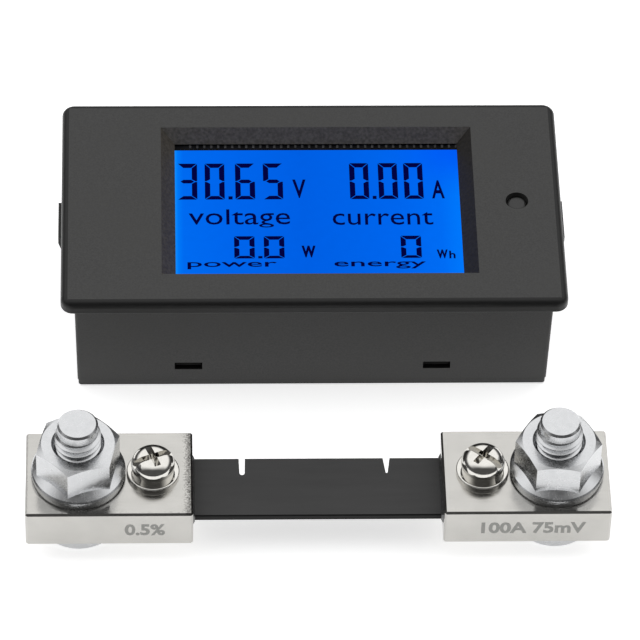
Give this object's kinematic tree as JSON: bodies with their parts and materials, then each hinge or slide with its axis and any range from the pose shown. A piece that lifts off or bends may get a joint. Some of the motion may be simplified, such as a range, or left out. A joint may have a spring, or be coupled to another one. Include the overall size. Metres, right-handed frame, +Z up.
{
  "type": "battery monitor shunt",
  "caption": "Flush-mounting battery meter lying on its back with a lit blue display, and its separate two-block current shunt with a flange nut and a sense screw on each block.",
  "frame": {"origin": "centre of the set on the bench: the bottom centre of its bounding box", "axes": "+X along both units, towards the meter's button; +Y from the shunt to the meter; +Z up, the way the display faces"},
  "size_m": [0.1014, 0.0878, 0.0253],
  "materials": {
    "nickel_block": "bright nickel plating over brass, lightly brushed",
    "resistance_strip": "matt black lacquer over manganin",
    "solder": "satin tin solder",
    "zinc_hardware": "bright zinc plating",
    "nickel_screw": "bright nickel plating",
    "case_plastic": "fine moulded texture, charcoal",
    "label_film": "satin polyester film",
    "button_plastic": "smooth black",
    "lcd_film": "lit blue display",
    "lcd_glass": "clear glass",
    "light_guide": "clear acrylic light guide",
    "black_plastic": "satin black moulding",
    "pin_metal": "tinned spring wire",
    "board_laminate": "green solder mask over glass laminate",
    "chip_plastic": "moulded epoxy",
    "can_metal": "drawn can",
    "resistor_ceramic": "glazed chip",
    "terminal_plastic": "satin green moulding",
    "brass_plate": "bare brass",
    "steel_screw": "zinc plating"
  },
  "bodies": {
    "shunt": {"terminal_block_left": "nickel_block", "terminal_block_right": "nickel_block", "resistance_strip": "resistance_strip", "solder_joint_left": "solder", "solder_joint_right": "solder", "terminal_stud_left": "zinc_hardware", "terminal_stud_right": "zinc_hardware"},
    "meter": {"front_housing": "case_plastic", "rear_cover": "case_plastic", "rear_label": "label_film", "lcd_film": "lcd_film", "lcd_glass": "lcd_glass", "lcd_backlight": "light_guide", "lcd_frame": "black_plastic", "lcd_pins": "pin_metal", "main_board": "board_laminate", "board_screws": "steel_screw", "switch_body": "black_plastic", "microcontroller": "chip_plastic", "small_chips": "chip_plastic", "capacitors": "can_metal", "crystal": "can_metal", "chip_resistors": "resistor_ceramic", "terminal_housing": "terminal_plastic", "terminal_plates": "brass_plate"},
    "button": {"button_cap": "button_plastic", "switch_plunger": "black_plastic"},
    "panel_clip_left": {"panel_clip_left": "case_plastic"},
    "panel_clip_right": {"panel_clip_right": "case_plastic"},
    "flange_nut_left_washer": {"stud_washer_left": "zinc_hardware"},
    "flange_nut_left": {"flange_nut_left": "zinc_hardware"},
    "sense_screw_left_washer": {"sense_flat_washer_left": "nickel_screw", "sense_spring_washer_left": "nickel_screw"},
    "sense_screw_left": {"sense_screw_left": "nickel_screw"},
    "flange_nut_right_washer": {"stud_washer_right": "zinc_hardware"},
    "flange_nut_right": {"flange_nut_right": "zinc_hardware"},
    "sense_screw_right_washer": {"sense_flat_washer_right": "nickel_screw", "sense_spring_washer_right": "nickel_screw"},
    "sense_screw_right": {"sense_screw_right": "nickel_screw"},
    "terminal_screw_1_washer": {"terminal_clamp_1": "steel_screw"},
    "terminal_screw_1": {"terminal_screw_1": "steel_screw"},
    "terminal_screw_2_washer": {"terminal_clamp_2": "steel_screw"},
    "terminal_screw_2": {"terminal_screw_2": "steel_screw"},
    "terminal_screw_3_washer": {"terminal_clamp_3": "steel_screw"},
    "terminal_screw_3": {"terminal_screw_3": "steel_screw"},
    "terminal_screw_4_washer": {"terminal_clamp_4": "steel_screw"},
    "terminal_screw_4": {"terminal_screw_4": "steel_screw"}
  },
  "joints": [
    {"name": "meter_apart", "type": "slide", "parent": "shunt", "child": "meter", "axis": [0, 1, 0], "range_m": [0, 0.08]},
    {"name": "button_press", "type": "slide", "parent": "meter", "child": "button", "axis": [0, 0, -1], "range_m": [0, 0.0005], "stiffness_N_per_m": 400},
    {"name": "panel_clip_left_flex", "type": "hinge", "parent": "meter", "child": "panel_clip_left", "pos_m": [-0.04133, 0.01905, 0.0065], "axis": [0, 1, 0], "range_deg": [0, 11], "stiffness_Nm_per_rad": 0.1},
    {"name": "panel_clip_right_flex", "type": "hinge", "parent": "meter", "child": "panel_clip_right", "pos_m": [0.04133, 0.01905, 0.0065], "axis": [0, -1, 0], "range_deg": [0, 11], "stiffness_Nm_per_rad": 0.1},
    {"name": "flange_nut_left_lift", "type": "slide", "parent": "shunt", "child": "flange_nut_left_washer", "axis": [0, 0, 1], "range_m": [0, 0.005]},
    {"name": "flange_nut_left_turn", "type": "hinge", "parent": "flange_nut_left_washer", "child": "flange_nut_left", "pos_m": [-0.0416, -0.03435, 0.0127], "axis": [0, 0, 1], "range_deg": [0, 1440]},
    {"name": "sense_screw_left_lift", "type": "slide", "parent": "shunt", "child": "sense_screw_left_washer", "axis": [0, 0, 1], "range_m": [0, 0.0035]},
    {"name": "sense_screw_left_turn", "type": "hinge", "parent": "sense_screw_left_washer", "child": "sense_screw_left", "pos_m": [-0.02865, -0.03435, 0.0122], "axis": [0, 0, 1], "range_deg": [0, 1800]},
    {"name": "flange_nut_right_lift", "type": "slide", "parent": "shunt", "child": "flange_nut_right_washer", "axis": [0, 0, 1], "range_m": [0, 0.005]},
    {"name": "flange_nut_right_turn", "type": "hinge", "parent": "flange_nut_right_washer", "child": "flange_nut_right", "pos_m": [0.0416, -0.03435, 0.0127], "axis": [0, 0, 1], "range_deg": [0, 1440]},
    {"name": "sense_screw_right_lift", "type": "slide", "parent": "shunt", "child": "sense_screw_right_washer", "axis": [0, 0, 1], "range_m": [0, 0.0035]},
    {"name": "sense_screw_right_turn", "type": "hinge", "parent": "sense_screw_right_washer", "child": "sense_screw_right", "pos_m": [0.02865, -0.03435, 0.0122], "axis": [0, 0, 1], "range_deg": [0, 1800]},
    {"name": "terminal_screw_1_lift", "type": "slide", "parent": "meter", "child": "terminal_screw_1_washer", "axis": [0, 0, -1], "range_m": [0, 0.002]},
    {"name": "terminal_screw_1_turn", "type": "hinge", "parent": "terminal_screw_1_washer", "child": "terminal_screw_1", "pos_m": [-0.012, 0.03135, 0.0072], "axis": [0, 0, -1], "range_deg": [0, 1440]},
    {"name": "terminal_screw_2_lift", "type": "slide", "parent": "meter", "child": "terminal_screw_2_washer", "axis": [0, 0, -1], "range_m": [0, 0.002]},
    {"name": "terminal_screw_2_turn", "type": "hinge", "parent": "terminal_screw_2_washer", "child": "terminal_screw_2", "pos_m": [-0.004, 0.03135, 0.0072], "axis": [0, 0, -1], "range_deg": [0, 1440]},
    {"name": "terminal_screw_3_lift", "type": "slide", "parent": "meter", "child": "terminal_screw_3_washer", "axis": [0, 0, -1], "range_m": [0, 0.002]},
    {"name": "terminal_screw_3_turn", "type": "hinge", "parent": "terminal_screw_3_washer", "child": "terminal_screw_3", "pos_m": [0.004, 0.03135, 0.0072], "axis": [0, 0, -1], "range_deg": [0, 1440]},
    {"name": "terminal_screw_4_lift", "type": "slide", "parent": "meter", "child": "terminal_screw_4_washer", "axis": [0, 0, -1], "range_m": [0, 0.002]},
    {"name": "terminal_screw_4_turn", "type": "hinge", "parent": "terminal_screw_4_washer", "child": "terminal_screw_4", "pos_m": [0.012, 0.03135, 0.0072], "axis": [0, 0, -1], "range_deg": [0, 1440]}
  ],
  "couplings": [
    {"joint": "flange_nut_left_turn", "follows": "flange_nut_left_lift", "rad_per_m": 5026.5},
    {"joint": "sense_screw_left_turn", "follows": "sense_screw_left_lift", "rad_per_m": 8976},
    {"joint": "flange_nut_right_turn", "follows": "flange_nut_right_lift", "rad_per_m": 5026.5},
    {"joint": "sense_screw_right_turn", "follows": "sense_screw_right_lift", "rad_per_m": 8976},
    {"joint": "terminal_screw_1_turn", "follows": "terminal_screw_1_lift", "rad_per_m": 12566},
    {"joint": "terminal_screw_2_turn", "follows": "terminal_screw_2_lift", "rad_per_m": 12566},
    {"joint": "terminal_screw_3_turn", "follows": "terminal_screw_3_lift", "rad_per_m": 12566},
    {"joint": "terminal_screw_4_turn", "follows": "terminal_screw_4_lift", "rad_per_m": 12566}
  ]
}
